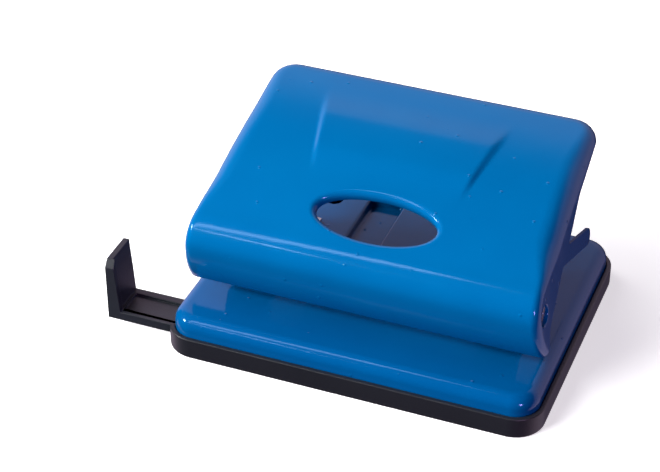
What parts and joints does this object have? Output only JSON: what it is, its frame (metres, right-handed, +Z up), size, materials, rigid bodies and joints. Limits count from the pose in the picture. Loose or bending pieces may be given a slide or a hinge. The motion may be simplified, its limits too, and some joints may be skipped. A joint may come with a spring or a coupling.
{
  "type": "two-hole paper punch",
  "caption": "Desk paper punch: hinged pressed-steel handle with an oval window, sprung punch pins, chip tray and sliding paper guide.",
  "frame": {"origin": "centre of the chip tray's footprint, on the surface it stands on", "axes": "+X runs along the punch, +Z is up, paper goes in from the -Y side under the handle"},
  "size_m": [0.1408, 0.0926, 0.0619],
  "materials": {
    "blue_enamel": "glossy blue stove enamel",
    "black_plastic": "moulded black plastic, satin",
    "guide_plastic": "moulded charcoal plastic, satin",
    "zinc_steel": "zinc plated sheet steel",
    "bare_steel": "ground and oiled steel",
    "spring_steel": "bright spring steel"
  },
  "bodies": {
    "tray": {"chip_tray": "black_plastic"},
    "base": {"base_plate": "blue_enamel", "pivot_rod": "bare_steel", "outer_guide_strap": "zinc_steel", "inner_guide_strap": "zinc_steel", "guide_leaf_spring": "spring_steel", "left_bracket": "zinc_steel", "left_bracket_rivets": "bare_steel", "left_return_spring": "spring_steel", "left_pivot_clip": "spring_steel", "right_bracket": "zinc_steel", "right_bracket_rivets": "bare_steel", "right_return_spring": "spring_steel", "right_pivot_clip": "spring_steel"},
    "handle": {"handle": "blue_enamel", "left_press_channel": "zinc_steel", "right_press_channel": "zinc_steel"},
    "left_pin": {"left_punch_pin": "bare_steel", "left_spring_washer": "zinc_steel", "left_pin_clip": "spring_steel"},
    "right_pin": {"right_punch_pin": "bare_steel", "right_spring_washer": "zinc_steel", "right_pin_clip": "spring_steel"},
    "guide": {"paper_guide": "guide_plastic"}
  },
  "joints": [
    {"name": "tray_release", "type": "slide", "parent": "tray", "child": "base", "axis": [0, 0, 1], "range_m": [0, 0.025]},
    {"name": "handle_press", "type": "hinge", "parent": "base", "child": "handle", "pos_m": [0, -0.0296, 0.034], "axis": [-1, 0, 0], "range_deg": [0, 18], "stiffness_Nm_per_rad": 0.6, "springref_deg": -20.05},
    {"name": "left_pin_travel", "type": "slide", "parent": "base", "child": "left_pin", "axis": [0, 0, -1], "range_m": [0, 0.0066], "deforming": ["left_return_spring"]},
    {"name": "right_pin_travel", "type": "slide", "parent": "base", "child": "right_pin", "axis": [0, 0, -1], "range_m": [0, 0.0066], "deforming": ["right_return_spring"]},
    {"name": "guide_slide", "type": "slide", "parent": "base", "child": "guide", "axis": [1, 0, 0], "range_m": [-0.07, 0.0155]}
  ],
  "couplings": [
    {"joint": "left_pin_travel", "follows": "handle_press", "m_per_rad": 0.020166},
    {"joint": "right_pin_travel", "follows": "handle_press", "m_per_rad": 0.020166}
  ]
}
